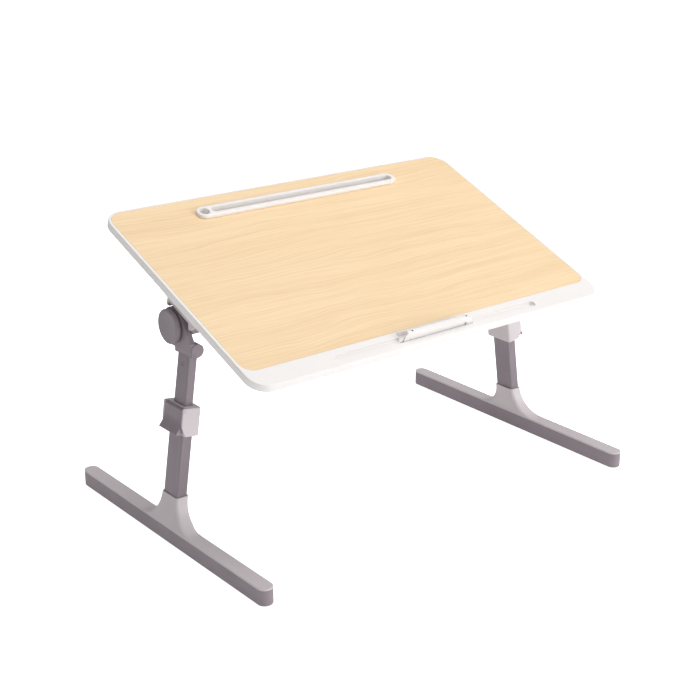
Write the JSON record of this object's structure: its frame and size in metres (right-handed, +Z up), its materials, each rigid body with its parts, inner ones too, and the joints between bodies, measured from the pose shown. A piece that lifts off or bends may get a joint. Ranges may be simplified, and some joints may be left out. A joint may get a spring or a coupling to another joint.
{
  "type": "folding tray table",
  "caption": "Folding lap desk: tilting light-wood top with tablet slot, pen groove and book stop, on two leaning legs with sliding tubes and lever clamps",
  "frame": {"origin": "on the floor, midway between the two feet and midway along them", "axes": "+X to the right along the wide side of the top, +Y to the back, +Z up"},
  "size_m": [0.6522, 0.4468, 0.4072],
  "materials": {
    "white": "satin white moulded plastic",
    "wood": "light maple laminate with fine grain",
    "board": "raw medium-density fibreboard",
    "greige": "light grey-beige moulded plastic, fine matt grain",
    "taupe": "dark taupe moulded plastic, fine matt grain",
    "tube": "anodised taupe aluminium tube",
    "steel": "zinc-plated steel",
    "rubber": "dark rubber",
    "nylon": "black nylon"
  },
  "bodies": {
    "tabletop": {"tabletop_frame": "white", "wood_panel": "wood", "core_board": "board", "bottom_cover": "white", "slot_holder": "white", "stop_pin": "steel", "hinge_bracket_left": "greige", "fold_pin_left": "steel", "bracket_screw_left_1": "steel", "bracket_screw_left_2": "steel", "bracket_screw_left_3": "steel", "bracket_screw_left_4": "steel", "hinge_bracket_right": "greige", "fold_pin_right": "steel", "bracket_screw_right_1": "steel", "bracket_screw_right_2": "steel", "bracket_screw_right_3": "steel", "bracket_screw_right_4": "steel"},
    "hinge_left": {"hinge_housing_left": "taupe", "tilt_axle_left": "steel"},
    "upper_leg_left": {"tilt_arm_left": "taupe", "tilt_gear_left": "nylon", "tilt_spring_left": "steel", "inner_tube_left": "tube", "tube_rivet_left": "tube", "glide_plug_left": "nylon"},
    "button_left": {"tilt_button_left": "taupe"},
    "lower_leg_left": {"outer_tube_left": "tube", "height_collar_left": "greige", "clamp_pad_left": "nylon", "lever_pin_left": "steel", "foot_bar_left": "taupe", "foot_cover_left": "greige", "foot_screw_left": "steel", "rubber_pad_front_left": "rubber", "rubber_pad_back_left": "rubber"},
    "lever_left": {"clamp_lever_left": "taupe"},
    "hinge_right": {"hinge_housing_right": "taupe", "tilt_axle_right": "steel"},
    "upper_leg_right": {"tilt_arm_right": "taupe", "tilt_gear_right": "nylon", "tilt_spring_right": "steel", "inner_tube_right": "tube", "tube_rivet_right": "tube", "glide_plug_right": "nylon"},
    "button_right": {"tilt_button_right": "taupe"},
    "lower_leg_right": {"outer_tube_right": "tube", "height_collar_right": "greige", "clamp_pad_right": "nylon", "lever_pin_right": "steel", "foot_bar_right": "taupe", "foot_cover_right": "greige", "foot_screw_right": "steel", "rubber_pad_front_right": "rubber", "rubber_pad_back_right": "rubber"},
    "lever_right": {"clamp_lever_right": "taupe"},
    "book_stop": {"book_stop": "white", "stop_bumper_left": "rubber", "stop_bumper_right": "rubber"}
  },
  "joints": [
    {"name": "fold_left", "type": "hinge", "parent": "tabletop", "child": "hinge_left", "pos_m": [-0.268, 0.01028, 0.31244], "axis": [0, -0.9291, -0.3697], "range_deg": [0, 95]},
    {"name": "tilt_left", "type": "hinge", "parent": "hinge_left", "child": "upper_leg_left", "pos_m": [-0.2733, 0.02, 0.288], "axis": [1, 0, 0], "range_deg": [-14.3, 21.7]},
    {"name": "height_left", "type": "slide", "parent": "upper_leg_left", "child": "lower_leg_left", "axis": [0.1478, 0, 0.989], "range_m": [-0.045, 0.056]},
    {"name": "clamp_lever_left", "type": "hinge", "parent": "lower_leg_left", "child": "lever_left", "pos_m": [-0.3011, 0, 0.18588], "axis": [0, 1, 0], "range_deg": [0, 50]},
    {"name": "tilt_button_left", "type": "slide", "parent": "upper_leg_left", "child": "button_left", "axis": [1, 0, 0], "range_m": [0, 0.0024], "stiffness_N_per_m": 800},
    {"name": "fold_right", "type": "hinge", "parent": "tabletop", "child": "hinge_right", "pos_m": [0.268, 0.01028, 0.31244], "axis": [0, 0.9291, 0.3697], "range_deg": [0, 95]},
    {"name": "tilt_right", "type": "hinge", "parent": "hinge_right", "child": "upper_leg_right", "pos_m": [0.2733, 0.02, 0.288], "axis": [1, 0, 0], "range_deg": [-14.3, 21.7]},
    {"name": "height_right", "type": "slide", "parent": "upper_leg_right", "child": "lower_leg_right", "axis": [-0.1478, 0, 0.989], "range_m": [-0.045, 0.056]},
    {"name": "clamp_lever_right", "type": "hinge", "parent": "lower_leg_right", "child": "lever_right", "pos_m": [0.3011, 0, 0.18588], "axis": [0, -1, 0], "range_deg": [0, 50]},
    {"name": "tilt_button_right", "type": "slide", "parent": "upper_leg_right", "child": "button_right", "axis": [-1, 0, 0], "range_m": [0, 0.0024], "stiffness_N_per_m": 800},
    {"name": "book_stop_fold", "type": "hinge", "parent": "tabletop", "child": "book_stop", "pos_m": [-0.0054, -0.1728, 0.26907], "axis": [-1, 0, 0], "range_deg": [0, 88]}
  ],
  "couplings": [
    {"joint": "tilt_right", "follows": "tilt_left", "ratio": 1}
  ]
}
